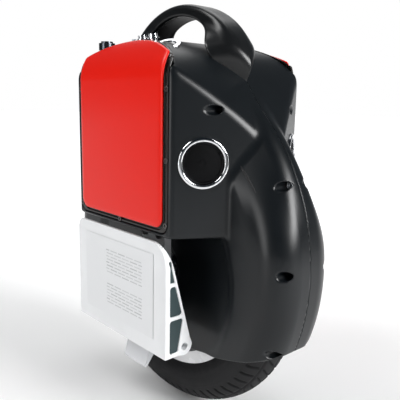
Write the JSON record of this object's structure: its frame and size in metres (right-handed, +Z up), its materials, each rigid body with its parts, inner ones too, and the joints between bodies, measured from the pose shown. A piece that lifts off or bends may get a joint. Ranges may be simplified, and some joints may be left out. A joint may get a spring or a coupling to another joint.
{
  "type": "electric unicycle",
  "caption": "Self-balancing electric unicycle: hub-motor wheel in a black moulded body with red side panels, folding foot pedals and an arched carrying handle.",
  "frame": {"origin": "on the ground under the middle of the object, where the tyre touches it", "axes": "+X forwards along the direction of travel, +Y to the rider's left along the wheel's axle, +Z up"},
  "size_m": [0.3918, 0.2036, 0.487],
  "materials": {
    "shell": "satin black moulded plastic",
    "bezel": "gloss black",
    "panel": "high gloss red",
    "seal": "matt black",
    "handle": "satin black",
    "liner": "matt black",
    "chrome": "bright",
    "grille": "black perforated sheet",
    "driver": "matt",
    "battery": "shrink-wrapped cell pack",
    "heat_sink": "plain",
    "board": "solder mask",
    "capacitor": "sleeved can",
    "insulator": "matt",
    "led": "clear",
    "gauge_lens": "smoked clear",
    "button_metal": "dark brushed",
    "steel": "machined",
    "laminations": "stacked sheets",
    "copper": "enamelled wire",
    "magnet": "nickel plated",
    "hanger": "cast, silver painted",
    "dark_screw": "blackened",
    "tyre": "matt tread rubber",
    "tube": "matt",
    "rim": "white gloss paint",
    "motor_cover": "black anodised",
    "pedal": "white-silver paint",
    "grip": "abrasive sheet",
    "plug": "dark grey-green",
    "label": "plain satin film"
  },
  "bodies": {
    "body": {"shell_right": "shell", "shell_left": "shell", "wheel_well": "liner", "shell_screws": "steel", "bezel_right": "bezel", "bezel_left": "bezel", "bezel_screws_right": "dark_screw", "bezel_screws_left": "dark_screw", "panel_seal_right": "seal", "panel_seal_left": "seal", "side_panel_right": "panel", "side_panel_left": "panel", "handle_arch": "handle", "handle_liner_front": "liner", "handle_liner_rear": "liner", "handle_bolts": "steel", "speaker_rings": "chrome", "speaker_grilles": "grille", "speaker_drivers": "driver", "battery_right": "battery", "battery_left": "battery", "heat_sink": "heat_sink", "control_board": "board", "capacitors": "capacitor", "charge_socket": "chrome", "charge_socket_insert": "insulator", "data_socket": "chrome", "socket_nuts": "steel", "status_led": "led", "gauge_bezel": "chrome", "gauge_lens": "gauge_lens", "button_housing": "button_metal", "axle": "steel", "stator": "laminations", "stator_windings": "copper", "axle_washers": "steel", "axle_nuts": "steel", "hanger_right": "hanger", "hanger_left": "hanger", "hanger_bolts": "dark_screw"},
    "wheel": {"tyre": "tyre", "inner_tube": "tube", "rim": "rim", "magnet_ring": "magnet", "motor_cover_right": "motor_cover", "motor_cover_left": "motor_cover", "cover_bolts": "steel", "wheel_bearings": "steel", "tyre_valve": "seal"},
    "pedal_r": {"pedal_right": "pedal", "pedal_grip_right": "grip", "pedal_plugs_right": "plug", "pedal_pins_right": "steel", "pedal_label_right": "label"},
    "pedal_l": {"pedal_left": "pedal", "pedal_grip_left": "grip", "pedal_plugs_left": "plug", "pedal_pins_left": "steel", "pedal_label_left": "label"},
    "button": {"power_button": "button_metal"}
  },
  "joints": [
    {"name": "wheel_spin", "type": "hinge", "parent": "body", "child": "wheel", "pos_m": [0, 0, 0.178], "axis": [0, 1, 0], "continuous": true},
    {"name": "pedal_right_fold", "type": "hinge", "parent": "body", "child": "pedal_r", "pos_m": [0, -0.074, 0.113], "axis": [1, 0, 0], "range_deg": [0, 74]},
    {"name": "pedal_left_fold", "type": "hinge", "parent": "body", "child": "pedal_l", "pos_m": [0, 0.074, 0.113], "axis": [-1, 0, 0], "range_deg": [0, 74]},
    {"name": "power_button_press", "type": "slide", "parent": "body", "child": "button", "axis": [0, 0, -1], "range_m": [0, 0.0015], "stiffness_N_per_m": 400, "springref_m": -0.001}
  ]
}
